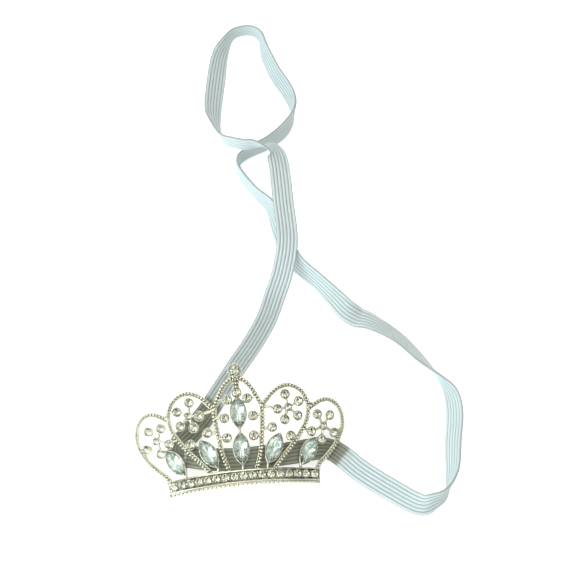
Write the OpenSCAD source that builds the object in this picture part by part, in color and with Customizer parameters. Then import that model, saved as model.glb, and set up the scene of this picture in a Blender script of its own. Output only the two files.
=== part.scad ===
// Mini crown headband: a small jewelled crown on a loop of flat ribbed elastic.
// All sizes are in millimetres. The crown lies on its back with its front up and
// its peak toward +Y, and the elastic loop lies on the same flat surface.
// A place on the crown is given as [across, up, out]: across is measured round
// the curve from the middle, up along the slope from the base rim, and out
// squarely from the curved face. Tables hold shares of the named sizes.

/* [Crown] */
// Width of the crown across its outermost arches, measured round its curve
crown_w = 64; // [56:1:76]
// Height of the crown from its base rim to the middle of the peak stone
crown_h = 30; // [27:1:36]
// Radius of the curve that the base rim follows
curve_r = 48; // [40:1:70]
// Angle in degrees by which the crown opens outward toward its top
flare = 15; // [6:1:22]
// Greatest thickness of the beaded arch wires
wire_d = 1.6; // [1.2:0.1:1.8]
// Distance between two beads along the arch wires
bead_pitch = 2.2; // [1.4:0.1:2.5]

/* [Base] */
// Width of the base as a share of the crown width
base_share = 0.76; // [0.7:0.01:0.82]
// Height of the base channel from rim to rim
base_h = 3.9; // [3.7:0.1:4.6]
// Thickness of the base channel from its back to the top of its rims
base_t = 1.8; // [1.7:0.1:2.2]
// Number of round stones in the base channel
base_stone_count = 17; // [9:2:17]
// Diameter of a base stone
base_stone_d = 2.4; // [2:0.1:2.4]
// Height of the beaded edge below the base channel
edge_d = 1.4; // [1:0.1:1.6]

/* [Stones] */
// Length of a marquise stone
marquise_l = 9.2; // [8:0.1:9.6]
// Width of a marquise stone
marquise_w = 4.6; // [4:0.1:4.9]
// Diameter of a round stone in the arches
round_d = 2.5; // [2:0.1:2.6]
// Diameter of the stone at the heart of a flower
heart_d = 2; // [1.6:0.1:2.2]
// Diameter of the stone at the peak
peak_d = 2.8; // [2.2:0.1:2.9]
// Thickness of the metal wall round a stone
cup_wall = 0.4; // [0.3:0.05:0.5]
// Gap between a stone and its seat
stone_gap = 0.06; // [0.04:0.01:0.1]

/* [Elastic] */
// Width of the flat elastic
elastic_w = 6.8; // [5:0.1:7.5]
// Thickness of the elastic
elastic_t = 1; // [0.8:0.1:1.4]
// Number of raised ribs along the elastic
elastic_ribs = 6; // [4:1:8]
// Farthest reach of the elastic to the right of the middle of the crown
loop_reach_x = 68; // [60:1:90]
// Farthest reach of the elastic beyond the base rim of the crown
loop_reach_y = 160; // [140:1:200]

/* [Hidden] */
half_w = crown_w / 2;
base_half = base_share * half_w;
// How far the cups and settings reach behind and in front of the curved face
cup_back = 0.9;
cup_front = 0.7;
// How far the girdles of the stones stand in front of the curved face
round_seat = 0.45;
base_seat = 0.45;
marquise_seat = 0.55;
stem_d = 1;
// Size of the beads between the peak stone and the stone below it, and their pitch
column_d = 1.9;
column_pitch = 1.2;
web_t = 0.6;
// Back and floor of the base channel, the width of its lips and their bevel
back_w = -1.05;
channel_floor = -0.7;
lip_w = 0.55;
lip_bevel = [0.15, 0.3];
end_wall = 0.7;
// Beads: width of the neck between two, the pitch of those along the lower edge
// as a share of their size, and how far that edge hangs below the channel
neck_share = 0.72;
edge_bead_share = 1.4;
edge_drop = 0.34;
elastic_gap = 0.25;
wire_sides = 5;
cup_sides = 8;
stone_sides = 8;
almond_steps = 6;
// Round stones, as shares of their diameter: width of the table, height above
// the girdle and depth of the pointed half below it
table_of_stone = 0.6;
crown_of_stone = 0.2;
depth_of_stone = 0.42;
// Levels of a marquise stone: shares of its width and length, and the height
marquise_levels = [[0.55, 0.62, 1.05], [0.8, 0.84, 0.75], [1, 1, 0.1], [1, 1, -0.1]];
marquise_depth = 1.15;

// Half of the centre arch, from its foot to its top: [across, up] in percent
centre_arch = [
  [13, 0], [16, 10], [18.5, 22], [20, 38], [21, 52], [20.5, 63],
  [17, 72], [13, 81], [8, 88.5], [0, 93]
];
// Inner side arch, from its foot over its top to the centre arch
inner_arch = [
  [31, 0], [37, 9], [45, 19], [51, 27.5], [57, 38], [61.5, 48], [63, 57], [62.5, 66],
  [58.5, 75], [52, 81], [44, 83.5], [36, 81], [29, 74.5], [24, 67.5], [20.5, 63]
];
// Outer side arch, from its foot over its top to the inner side arch
outer_arch = [
  [73, 0], [77, 6], [84, 14], [91, 23], [96, 33], [99.5, 43], [99.5, 52], [96.5, 61],
  [90.5, 68], [83, 71], [75.5, 69.5], [69.5, 65.5], [63, 60]
];

// Round stones on the right half and their stems: name, place of the stone
// [across, up], place where the stem meets the metal [across, up], in percent
side_stones = [
  ["centre_shoulder_stone", [8.5, 71], [17, 72]],
  ["centre_upper_stone", [12.5, 53], [21, 54]],
  ["centre_lower_stone", [12, 33], [19.5, 33]],
  ["flank_stone_inner", [29, 40.5], [20, 39]],
  ["flank_stone_outer", [46, 31.5], [52, 29]]
];
// Flowers on the right half: name, heart [across, up] in percent, and for each
// petal its angle in degrees and its reach in percent of the crown height
flowers = [
  ["inner_flower", [44, 60.5], [[102, 13.5], [190, 10.5], [254, 13], [318, 12.5], [32, 12]]],
  ["outer_flower", [78.5, 43], [[122, 13.5], [206, 14.5], [262, 14], [336, 14], [60, 13.5]]]
];
petal_count = len(flowers[0][2]);
// Depth of the notches between the arms of a flower's star, as a share
star_notch = 0.2;
// Stems that tie flowers to arches: [across, up] to [across, up], in percent
ties = [
  [[53, 67], [61, 69]], [[33, 60], [22, 62]], [[92, 39], [99, 43]], [[67, 38], [58, 39]]
];
// Small webs where two arches meet: three corners [across, up], in percent
webs = [
  [[20.5, 58], [19, 68], [24, 67]], [[63, 56], [61.5, 67], [69, 65.5]]
];
// Marquise stones: name, middle [across, up] in percent, and lean from upright
marquises = [
  ["marquise_centre_upper", [0, 57], 0],
  ["marquise_centre_lower", [0, 21], 0],
  ["marquise_inner_right", [30, 19.5], 24.5],
  ["marquise_inner_left", [-30, 19.5], -24.5],
  ["marquise_outer_right", [63.5, 16.5], 30.5],
  ["marquise_outer_left", [-63.5, 16.5], -30.5]
];

// Route of the elastic from the right end of the crown round to its left end:
// place [right, up] in percent of the two reaches, height of its lower edge
// above the surface in percent of its width, and the lean of its width in degrees
route = [
  [[41, 3.8], 0, 180], [[46.5, 1.8], 0, 188], [[52.6, -1], 0, 196], [[64.7, -5.2], 0, 202],
  [[76.8, -8.8], 0, 214], [[83.5, -8.6], 0, 240], [[89.5, -7.2], 0, 262], [[93.5, -3.2], 0, 298],
  [[95.7, 2.3], 0, 310], [[98.5, 8.3], 0, 312], [[98.3, 12.3], 0, 299], [[94.8, 15.4], 0, 268],
  [[87.3, 20], 0, 236], [[77.6, 25.4], 0, 222], [[65.8, 29.6], 0, 200], [[56.2, 32.1], 0, 157],
  [[50, 35.3], 0, 130], [[42.6, 39.3], 0, 116], [[34.5, 43.3], 0, 120], [[29.8, 47.8], 0, 132],
  [[27, 52.3], 0, 128], [[24, 57], 0, 108], [[17.6, 60.5], 0, 96], [[10.9, 65.6], 0, 91],
  [[10.8, 68.3], 0, 89], [[14.5, 69.7], 0, 88], [[20, 70.9], 0, 84], [[27, 72.2], 0, 79],
  [[35.7, 75.1], 0, 76], [[40.8, 79], 0, 95], [[39.8, 83.3], 0, 113], [[33.5, 89.3], 0, 117],
  [[29.6, 94.9], 0, 109], [[28.2, 98.9], 0, 92], [[23, 100.7], 0, 84], [[15, 100.3], 0, 86],
  [[10.4, 98], 0, 105], [[6.4, 94.7], 0, 134], [[3.7, 89.8], 0, 150], [[0.5, 81.6], 10, 143],
  [[0.8, 76.8], 35, 117], [[3.9, 72.3], 70, 99], [[9.5, 70.4], 95, 92], [[14.5, 69.4], 112, 92],
  [[19, 69.2], 119, 100], [[24.5, 68.6], 115, 125], [[28.5, 67.9], 112, 155], [[30.3, 64.8], 106, 167],
  [[30.5, 56.3], 100, 173], [[30.5, 47.8], 94, 173], [[27, 41.5], 71, 178], [[22.2, 36.8], 34, 168],
  [[17.1, 32], 12, 153], [[9.7, 27.1], 4, 145], [[1.2, 22.4], 4, 142], [[-7.6, 17.3], 4, 143],
  [[-15.3, 12.9], 4, 150], [[-22, 10.1], 4, 170], [[-26.2, 8.5], 6, 186], [[-28.4, 7.2], 12, 198],
  [[-28.9, 5.8], 24, 208], [[-27.3, 4.7], 45, 206]
];
// Stretch of the elastic behind the crown: its middle height up the slope, and
// for each end how far it reaches along the crown and how far it climbs
behind_up = 3.2;
behind_left = [0.53 * half_w, 3.2];
behind_right = [0.77 * half_w, 2.8];
behind_shares = [-1, -0.75, -0.4, 0, 0.35, 0.7, 1];
longest_step = 9.6;

// Maps a place on the crown to the lying crown before it is set on the surface
function on_cone(p) = let(
    turn = p[0] / curve_r * 180 / PI,
    r = curve_r + p[1] * sin(flare) + p[2] * cos(flare)
  ) [r * sin(turn), p[1] * cos(flare) - p[2] * sin(flare), r * cos(turn) - curve_r];

// The ends of the base and the outermost arches lie level, one thickness of the
// elastic above the surface, because the crown lies on its own elastic
low_base = on_cone([base_half, -base_h - edge_d, back_w]);
low_arch = on_cone([half_w, 0.43 * crown_h, -wire_d / 2]);
tip = atan2(low_arch[2] - low_base[2], low_base[1] - low_arch[1]);
rest_tip = tip > 90 ? tip - 180 : tip < -90 ? tip + 180 : tip;

function tipped(p) = [
  p[0],
  p[1] * cos(rest_tip) - p[2] * sin(rest_tip),
  p[1] * sin(rest_tip) + p[2] * cos(rest_tip)
];
rest_drop = tipped(low_base)[2] - elastic_t;

function laid(p) = let(q = tipped(on_cone(p))) [q[0], q[1], q[2] - rest_drop];

function unit(v) = v / norm(v);
function percent(p, side = 1) = [side * p[0] * half_w / 100, p[1] * crown_h / 100, 0];

// Smooth curve through points: place at share t between b and c
function bend(a, b, c, d, t) = 0.5 * (
    2 * b + (c - a) * t + (2 * a - 5 * b + 4 * c - d) * t * t
    + (3 * b - a - 3 * c + d) * t * t * t
  );

// Elastic route as rows of [x, y, height of lower edge, lean]
function behind_row(s) = let(
    end = s < 0 ? behind_left : behind_right,
    out = back_w - elastic_gap - elastic_t / 2,
    q = laid([s * end[0], behind_up + end[1] * s * s, out])
  ) [q[0], q[1], q[2] - half_rise(flare + rest_tip), 180 + flare + rest_tip];

function half_rise(lean) = elastic_w / 2 * abs(sin(lean)) + elastic_t / 2 * abs(cos(lean));

rows = concat(
  [for (s = behind_shares) behind_row(s)],
  [for (r = route)
    [r[0][0] * loop_reach_x / 100, r[0][1] * loop_reach_y / 100, r[1] * elastic_w / 100, r[2]]]
);
row_count = len(rows);

function row(i) = rows[(i + row_count) % row_count];
function row_gap(i) = norm([row(i + 1)[0] - row(i)[0], row(i + 1)[1] - row(i)[1]]);
band_rings = [for (i = [0:row_count - 1]) let(steps = ceil(row_gap(i) / longest_step))
  for (k = [0:steps - 1]) bend(row(i - 1), row(i), row(i + 1), row(i + 2), k / steps)];
ring_count = len(band_rings);

function ring_mid(i) = let(r = band_rings[(i + ring_count) % ring_count])
  [r[0], r[1], max(r[2], 0) + half_rise(r[3])];

// Cross-section of the elastic: ribs on both faces, [across, thick]
rib_step = elastic_w / elastic_ribs;
groove = 0.16 * elastic_t;
face = [for (k = [0:2 * elastic_ribs]) let(x = k * rib_step / 2 - elastic_w / 2)
  [x, elastic_t / 2 - (k % 2 == 0 ? groove * (k == 0 || k == 2 * elastic_ribs ? 1.6 : 1) : 0)]];
section = concat([for (p = face) [p[0], -p[1]]], [for (k = [len(face) - 1:-1:0]) face[k]]);
section_count = len(section);

function ring_points(i) = let(
    lean = band_rings[i][3],
    t = unit(ring_mid(i + 1) - ring_mid(i - 1)),
    side = unit([-t[1], t[0], 0]),
    rise = cross(t, side),
    across = side * cos(lean) + rise * sin(lean),
    thick = rise * cos(lean) - side * sin(lean)
  ) [for (p = section) ring_mid(i) + across * p[0] + thick * p[1]];

band_points = [for (i = [0:ring_count - 1]) each ring_points(i)];

// Middle of the whole object on the surface
low_x = min(laid([-half_w, 0.48 * crown_h, 0])[0] - wire_d / 2, min([for (p = band_points) p[0]]));
high_x = max([for (p = band_points) p[0]]);
low_y = min([for (p = band_points) p[1]]);
high_y = max([for (p = band_points) p[1]]);
middle = [(low_x + high_x) / 2, (low_y + high_y) / 2, 0];

function place(p) = laid(p) - middle;

// Stone tables for both halves
sides = [["right", 1], ["left", -1]];
function petal(f, k, side) = percent(f[1], side) + petal_way(f, k, side);
function petal_way(f, k, side) = let(p = f[2][k])
  p[1] * crown_h / 100 * [side * cos(p[0]), sin(p[0]), 0];

// Rows of [name, place, diameter, far end of stem]
round_stones = concat(
  [["peak_stone", [0, crown_h, 0], peak_d, [0, 0.78 * crown_h, 0]],
   ["centre_top_stone", [0, 0.775 * crown_h, 0], round_d, [0, 0.9 * crown_h, 0]]],
  [for (s = sides, r = side_stones)
    [str(r[0], "_", s[0]), percent(r[1], s[1]), round_d, percent(r[2], s[1])]],
  [for (s = sides, f = flowers)
    [str(f[0], "_", s[0], "_heart"), percent(f[1], s[1]), heart_d]],
  [for (s = sides, f = flowers, k = [0:petal_count - 1])
    [str(f[0], "_", s[0], "_petal_", k + 1), petal(f, k, s[1]), round_d]]
);

base_pitch = 2 * (base_half - end_wall - base_stone_d / 2) / (base_stone_count - 1);

// Moves a child from the flat to a place on the crown, its z pointing outward
module seat(p, turn = 0) {
  o = place(p);
  out = unit(place(p + [0, 0, 1]) - o);
  up = unit(place(p + [0, 1, 0]) - o);
  side = cross(up, out);
  multmatrix([
    [side[0], up[0], out[0], o[0]],
    [side[1], up[1], out[1], o[1]],
    [side[2], up[2], out[2], o[2]],
    [0, 0, 0, 1]
  ]) rotate([0, 0, turn]) children();
}

// Closed solid through rings of equal point count
module through_rings(rings, closed = false) {
  n = len(rings[0]);
  count = len(rings);
  last = closed ? count : count - 1;
  walls = [for (i = [0:last - 1], k = [0:n - 1])
    let(a = i * n, b = ((i + 1) % count) * n, m = (k + 1) % n)
    each [[a + k, b + k, b + m], [a + k, b + m, a + m]]];
  ends = closed ? [] : [[for (k = [0:n - 1]) k], [for (k = [n - 1:-1:0]) (count - 1) * n + k]];
  polyhedron(points = [for (r = rings) each r], faces = concat(walls, ends), convexity = 10);
}

// Beaded wire through places on the crown
module beaded_wire(path, d, pitch) {
  n = len(path);
  far = [for (i = [0:n - 2]) max(1, round(norm(path[i + 1] - path[i]) / pitch))];
  spine = concat(
    [for (i = [0:n - 2], k = [0:2 * far[i] - 1])
      bend(path[max(i - 1, 0)], path[i], path[i + 1], path[min(i + 2, n - 1)], k / (2 * far[i]))],
    [path[n - 1]]
  );
  count = len(spine);
  through_rings([for (i = [0:count - 1]) let(
      o = place(spine[i]),
      t = unit(place(spine[min(i + 1, count - 1)]) - place(spine[max(i - 1, 0)])),
      out = unit(place(spine[i] + [0, 0, 1]) - o),
      side = unit(cross(out, t)),
      r = d / 2 * (i % 2 == 0 ? neck_share : 1)
    ) [for (k = [0:wire_sides - 1]) let(a = k * 360 / wire_sides)
      o + r * (cos(a) * side + sin(a) * cross(t, side))]]);
}

// Round brilliant cut: table, star and main facets above the girdle, and a
// pointed lower half
module round_brilliant(d) {
  r = d / 2;
  n = stone_sides;
  step = 360 / n;
  table = [for (k = [0:n - 1]) table_of_stone * r * [cos((k + 0.5) * step), sin((k + 0.5) * step)]];
  girdle = [for (k = [0:n - 1]) r * [cos(k * step), sin(k * step)]];
  points = concat(
    [for (p = table) [p[0], p[1], crown_of_stone * d]],
    [for (p = girdle) [p[0], p[1], 0]],
    [[0, 0, -depth_of_stone * d]]
  );
  sloped = [for (k = [0:n - 1]) let(m = (k + 1) % n)
    each [[k, m, n + m], [k, n + m, n + k], [n + k, n + m, 2 * n]]];
  polyhedron(points = points, faces = concat([[for (k = [n - 1:-1:0]) k]], sloped));
}

// Space that a round stone needs, open toward the front
module round_pocket(d) {
  r = d / 2 + stone_gap;
  depth = depth_of_stone * d + 2 * stone_gap;
  translate([0, 0, -stone_gap]) cylinder(h = stone_gap + cup_front + 1, r = r, $fn = stone_sides);
  translate([0, 0, -depth]) cylinder(h = depth - stone_gap / 2, r1 = 0, r2 = r, $fn = stone_sides);
}

// Almond outline with two pointed ends, long axis along y
function almond(l, w) = let(
    r = (l * l + w * w) / (4 * w),
    half = asin(l / 2 / r),
    n = almond_steps
  ) concat(
    [for (k = [0:n - 1]) let(a = -half + 2 * half * k / n) [r * cos(a) - r + w / 2, r * sin(a)]],
    [for (k = [0:n - 1]) let(a = half - 2 * half * k / n) [r - w / 2 - r * cos(a), r * sin(a)]]
  );

// Almond-shaped solid through levels [share of width, share of length, height],
// from the top down to a point
module almond_solid(l, w, levels, depth) {
  base = almond(l, w);
  n = len(base);
  last = len(levels) - 1;
  rings = [for (s = levels) each [for (p = base) [p[0] * s[0], p[1] * s[1], s[2]]]];
  walls = [for (i = [0:last - 1], k = [0:n - 1])
    let(a = i * n, b = (i + 1) * n, m = (k + 1) % n)
    each [[a + k, a + m, b + m], [a + k, b + m, b + k]]];
  lower = [for (k = [0:n - 1]) [last * n + k, last * n + (k + 1) % n, (last + 1) * n]];
  polyhedron(points = concat(rings, [[0, 0, -depth]]),
    faces = concat([[for (k = [n - 1:-1:0]) k]], walls, lower));
}

// Marquise cut: table, slanted upper facets, girdle and pointed lower half
module marquise_cut() {
  almond_solid(marquise_l, marquise_w, marquise_levels, marquise_depth);
}

// Space that a marquise stone needs, open toward the front
module marquise_pocket() {
  seat_level = marquise_levels[len(marquise_levels) - 1][2] - stone_gap;
  almond_solid(marquise_l + 4 * stone_gap, marquise_w + 2 * stone_gap,
    [[1, 1, cup_front + 1], [1, 1, seat_level]], marquise_depth + 2 * stone_gap);
}

module crown_frame() {
  color([0.82, 0.82, 0.77]) difference() {
    union() {
      base_channel();
      arches();
      cups();
      stems();
      settings();
    }
    pockets();
  }
}

module base_channel() {
  top = back_w + base_t;
  lip = [
    [0, back_w], [0, top - lip_bevel[1]], [-lip_bevel[0], top], [lip_bevel[0] - lip_w, top],
    [-lip_w, top - lip_bevel[1]], [-lip_w, channel_floor]
  ];
  profile = concat(lip, [for (k = [len(lip) - 1:-1:0]) [-base_h - lip[k][0], lip[k][1]]]);
  steps = base_stone_count;
  through_rings([for (i = [0:steps]) let(across = base_half * (2 * i / steps - 1))
    [for (p = profile) place([across, p[0], p[1]])]]);
  edge_count = floor(base_half * 2 / edge_d / edge_bead_share);
  edge_up = -base_h - edge_drop * edge_d;
  beaded_wire([for (i = [0:edge_count]) [base_half * (2 * i / edge_count - 1), edge_up, 0]],
    edge_d, 2 * base_half / edge_count);
}

module arches() {
  left_centre = [for (p = centre_arch) percent(p, -1)];
  right_centre = [for (k = [len(centre_arch) - 2:-1:0]) percent(centre_arch[k])];
  beaded_wire(concat(left_centre, right_centre), wire_d, bead_pitch);
  for (s = sides) {
    beaded_wire([for (p = inner_arch) percent(p, s[1])], wire_d, bead_pitch);
    beaded_wire([for (p = outer_arch) percent(p, s[1])], wire_d, bead_pitch);
  }
  beaded_wire([[0, 0.8 * crown_h, 0], [0, 0.94 * crown_h, 0]], column_d, column_pitch);
}

module cups() {
  for (s = round_stones)
    seat(s[1]) translate([0, 0, -cup_back])
      cylinder(h = cup_back + cup_front, r1 = s[2] / 2, r2 = s[2] / 2 + cup_wall, $fn = cup_sides);
}

module stem(a, b) {
  hull() {
    seat(a) cube([stem_d, stem_d, stem_d], center = true);
    seat(b) cube([stem_d, stem_d, stem_d], center = true);
  }
}

// Star of tapered arms from the heart of a flower to its petals
module star(f, side) {
  ways = [for (k = [0:petal_count - 1]) let(w = petal_way(f, k, side)) [w[0], w[1]]];
  seat(percent(f[1], side)) translate([0, 0, -stem_d / 2]) linear_extrude(stem_d) polygon([
    for (k = [0:petal_count - 1]) each [ways[k], star_notch * (ways[k] + ways[(k + 1) % petal_count])]
  ]);
}

module stems() {
  for (s = round_stones) if (is_list(s[3])) stem(s[1], s[3]);
  for (s = sides, t = ties) stem(percent(t[0], s[1]), percent(t[1], s[1]));
  for (s = sides, w = webs) hull() {
    for (c = w) seat(percent(c, s[1])) cube([stem_d / 2, stem_d / 2, web_t], center = true);
  }
  for (s = sides, f = flowers) star(f, s[1]);
  for (m = marquises) if (m[1][1] < 50) let(low = marquise_tip(m, -1)) stem(low, [low[0], 0, 0]);
  stem(marquise_tip(marquises[1], 1), marquise_tip(marquises[0], -1));
}

// Pointed end of a marquise setting: way 1 is the upper end, way -1 the lower
function marquise_tip(m, way) = percent(m[1])
  + way * (marquise_l / 2 + cup_wall) * [sin(m[2]), cos(m[2]), 0];

module settings() {
  outline = almond(marquise_l + 3 * cup_wall, marquise_w + 2 * cup_wall);
  for (m = marquises)
    seat(percent(m[1]), -m[2]) translate([0, 0, -cup_back])
      linear_extrude(cup_back + cup_front) polygon(outline);
}

module pockets() {
  for (s = round_stones) seat(s[1] + [0, 0, round_seat]) round_pocket(s[2]);
  for (m = marquises) seat(percent(m[1]) + [0, 0, marquise_seat], -m[2]) marquise_pocket();
}

function base_place(i) = [(i - (base_stone_count - 1) / 2) * base_pitch, -base_h / 2, base_seat];

module base_stones() {
  color([0.9, 0.93, 0.92]) for (i = [0:base_stone_count - 1])
    seat(base_place(i)) round_brilliant(base_stone_d);
}

module marquise_stone(m) {
  color([0.75, 0.88, 0.88]) seat(percent(m[1]) + [0, 0, marquise_seat], -m[2]) marquise_cut();
}

module round_stone(s) {
  color([0.92, 0.94, 0.92]) seat(s[1] + [0, 0, round_seat]) round_brilliant(s[2]);
}

module elastic_band() {
  color([0.93, 0.97, 0.98]) through_rings(
    [for (i = [0:ring_count - 1]) [for (p = ring_points(i)) p - middle]], true);
}

crown_frame();
base_stones();
elastic_band();
for (m = marquises) marquise_stone(m);
for (s = round_stones) round_stone(s);
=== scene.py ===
"""Mini crown headband: a jewelled silver-coloured crown on a loop of white ribbed elastic."""
import math

import bpy
import numpy as np
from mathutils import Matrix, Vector


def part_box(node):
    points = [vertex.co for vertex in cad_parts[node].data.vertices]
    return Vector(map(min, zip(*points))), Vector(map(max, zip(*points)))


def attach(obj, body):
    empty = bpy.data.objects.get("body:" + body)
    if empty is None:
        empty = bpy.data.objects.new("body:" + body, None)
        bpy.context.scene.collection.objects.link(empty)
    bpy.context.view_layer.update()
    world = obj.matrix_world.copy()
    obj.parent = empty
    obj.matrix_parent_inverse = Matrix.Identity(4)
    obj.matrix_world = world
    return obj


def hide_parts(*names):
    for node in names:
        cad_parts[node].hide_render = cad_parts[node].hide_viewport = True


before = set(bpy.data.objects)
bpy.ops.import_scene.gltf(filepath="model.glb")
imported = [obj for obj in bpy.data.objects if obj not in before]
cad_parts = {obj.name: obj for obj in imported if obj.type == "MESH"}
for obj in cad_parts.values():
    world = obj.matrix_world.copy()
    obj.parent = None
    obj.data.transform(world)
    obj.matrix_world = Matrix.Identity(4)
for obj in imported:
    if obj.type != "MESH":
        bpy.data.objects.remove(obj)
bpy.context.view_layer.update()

# Sizes in millimetres, the same as those of the CAD part
CROWN_W, CROWN_H, CURVE_R, FLARE = 64.0, 30.0, 48.0, math.radians(15)
HALF_W = CROWN_W / 2
BASE_SHARE = 0.76
BASE_HALF = BASE_SHARE * HALF_W
BASE_H, BASE_T, EDGE_D, EDGE_DROP = 3.9, 1.8, 1.4, 0.34
BACK_W, CHANNEL_FLOOR, LIP_W = -1.05, -0.7, 0.55
BASE_STONES, BASE_STONE_D = 17, 2.4
MARQUISE_L, MARQUISE_W = 9.2, 4.6
ROUND_D, HEART_D, PEAK_D = 2.5, 2.0, 2.8
WIRE_D = 1.6
CUP_BACK, CUP_WALL = 0.9, 0.4
ROUND_SEAT, MARQUISE_SEAT = 0.45, 0.55
ELASTIC_W, ELASTIC_T, RIBS = 6.8, 1.0, 6
REACH_X, REACH_Y = 68.0, 160.0
ELASTIC_GAP = 0.25
# Height at which the lowest arches touch the surface, as a share of the crown's height
ARCH_REST = 0.43

CENTRE_ARCH = [
    (13, 0), (16, 10), (18.5, 22), (20, 38), (21, 52), (20.5, 63),
    (17, 72), (13, 81), (8, 88.5), (0, 93),
]
INNER_ARCH = [
    (31, 0), (37, 9), (45, 19), (51, 27.5), (57, 38), (61.5, 48), (63, 57), (62.5, 66),
    (58.5, 75), (52, 81), (44, 83.5), (36, 81), (29, 74.5), (24, 67.5), (20.5, 63),
]
OUTER_ARCH = [
    (73, 0), (77, 6), (84, 14), (91, 23), (96, 33), (99.5, 43), (99.5, 52), (96.5, 61),
    (90.5, 68), (83, 71), (75.5, 69.5), (69.5, 65.5), (63, 60),
]
# name, place of the stone, far end of its stem, in percent
SIDE_STONES = [
    ("centre_shoulder_stone", (8.5, 71), (17, 72)),
    ("centre_upper_stone", (12.5, 53), (21, 54)),
    ("centre_lower_stone", (12, 33), (19.5, 33)),
    ("flank_stone_inner", (29, 40.5), (20, 39)),
    ("flank_stone_outer", (46, 31.5), (52, 29)),
]
# name, heart, and for each petal its angle and its reach in percent of the crown height
FLOWERS = [
    ("inner_flower", (44, 60.5), [(102, 13.5), (190, 10.5), (254, 13), (318, 12.5), (32, 12)]),
    ("outer_flower", (78.5, 43), [(122, 13.5), (206, 14.5), (262, 14), (336, 14), (60, 13.5)]),
]
TIES = [((53, 67), (61, 69)), ((33, 60), (22, 62)), ((92, 39), (99, 43)), ((67, 38), (58, 39))]
WEBS = [((20.5, 58), (19, 68), (24, 67)), ((63, 56), (61.5, 67), (69, 65.5))]
MARQUISES = [
    ("marquise_centre_upper", (0, 57), 0),
    ("marquise_centre_lower", (0, 21), 0),
    ("marquise_inner_right", (30, 19.5), 24.5),
    ("marquise_inner_left", (-30, 19.5), -24.5),
    ("marquise_outer_right", (63.5, 16.5), 30.5),
    ("marquise_outer_left", (-63.5, 16.5), -30.5),
]
# Route of the elastic: place in percent of the reaches, height of the lower edge
# in percent of the width, lean in degrees
ROUTE = [
    ((41, 3.8), 0, 180), ((46.5, 1.8), 0, 188), ((52.6, -1), 0, 196), ((64.7, -5.2), 0, 202),
    ((76.8, -8.8), 0, 214), ((83.5, -8.6), 0, 240), ((89.5, -7.2), 0, 262), ((93.5, -3.2), 0, 298),
    ((95.7, 2.3), 0, 310), ((98.5, 8.3), 0, 312), ((98.3, 12.3), 0, 299), ((94.8, 15.4), 0, 268),
    ((87.3, 20), 0, 236), ((77.6, 25.4), 0, 222), ((65.8, 29.6), 0, 200), ((56.2, 32.1), 0, 157),
    ((50, 35.3), 0, 130), ((42.6, 39.3), 0, 116), ((34.5, 43.3), 0, 120), ((29.8, 47.8), 0, 132),
    ((27, 52.3), 0, 128), ((24, 57), 0, 108), ((17.6, 60.5), 0, 96), ((10.9, 65.6), 0, 91),
    ((10.8, 68.3), 0, 89), ((14.5, 69.7), 0, 88), ((20, 70.9), 0, 84), ((27, 72.2), 0, 79),
    ((35.7, 75.1), 0, 76), ((40.8, 79), 0, 95), ((39.8, 83.3), 0, 113), ((33.5, 89.3), 0, 117),
    ((29.6, 94.9), 0, 109), ((28.2, 98.9), 0, 92), ((23, 100.7), 0, 84), ((15, 100.3), 0, 86),
    ((10.4, 98), 0, 105), ((6.4, 94.7), 0, 134), ((3.7, 89.8), 0, 150), ((0.5, 81.6), 10, 143),
    ((0.8, 76.8), 35, 117), ((3.9, 72.3), 70, 99), ((9.5, 70.4), 95, 92), ((14.5, 69.4), 112, 92),
    ((19, 69.2), 119, 100), ((24.5, 68.6), 115, 125), ((28.5, 67.9), 112, 155), ((30.3, 64.8), 106, 167),
    ((30.5, 56.3), 100, 173), ((30.5, 47.8), 94, 173), ((27, 41.5), 71, 178), ((22.2, 36.8), 34, 168),
    ((17.1, 32), 12, 153), ((9.7, 27.1), 4, 145), ((1.2, 22.4), 4, 142), ((-7.6, 17.3), 4, 143),
    ((-15.3, 12.9), 4, 150), ((-22, 10.1), 4, 170), ((-26.2, 8.5), 6, 186), ((-28.4, 7.2), 12, 198),
    ((-28.9, 5.8), 24, 208), ((-27.3, 4.7), 45, 206),
]
BEHIND_UP = 3.2
BEHIND_LEFT, BEHIND_RIGHT = (0.53 * HALF_W, 3.2), (0.77 * HALF_W, 2.8)
BEHIND_SHARES = (-1, -0.75, -0.4, 0, 0.35, 0.7, 1)
# Rows of the route after which the crown's shade ends and begins, with the share of the way on
SHADE_END, SHADE_START = (0, 0.7), (55, 0.5)
# Point that the camera looks at, on the lying crown before the part is centred, in millimetres
CAMERA_AIM = (19.8, 57.6)
CAMERA_AZIMUTH, CAMERA_ELEVATION = math.radians(-5.58), math.radians(66)
CAMERA_DISTANCE, CAMERA_LENS = 0.45, 87.6


# Places on the crown

def on_cone(p):
    turn = p[0] / CURVE_R
    r = CURVE_R + p[1] * math.sin(FLARE) + p[2] * math.cos(FLARE)
    return np.array([
        r * math.sin(turn),
        p[1] * math.cos(FLARE) - p[2] * math.sin(FLARE),
        r * math.cos(turn) - CURVE_R,
    ])


low_base = on_cone((BASE_HALF, -BASE_H - EDGE_D, BACK_W))
low_arch = on_cone((HALF_W, ARCH_REST * CROWN_H, -WIRE_D / 2))
TIP = math.atan2(low_arch[2] - low_base[2], low_base[1] - low_arch[1])
if TIP > math.pi / 2:
    TIP -= math.pi
if TIP < -math.pi / 2:
    TIP += math.pi


def tipped(p):
    c, s = math.cos(TIP), math.sin(TIP)
    return np.array([p[0], p[1] * c - p[2] * s, p[1] * s + p[2] * c])


DROP = tipped(low_base)[2] - ELASTIC_T


def laid(p):
    q = tipped(on_cone(p))
    return np.array([q[0], q[1], q[2] - DROP])


def box_mid(node):
    lo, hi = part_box(node)
    return np.array((lo + hi) / 2) * 1000


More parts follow.
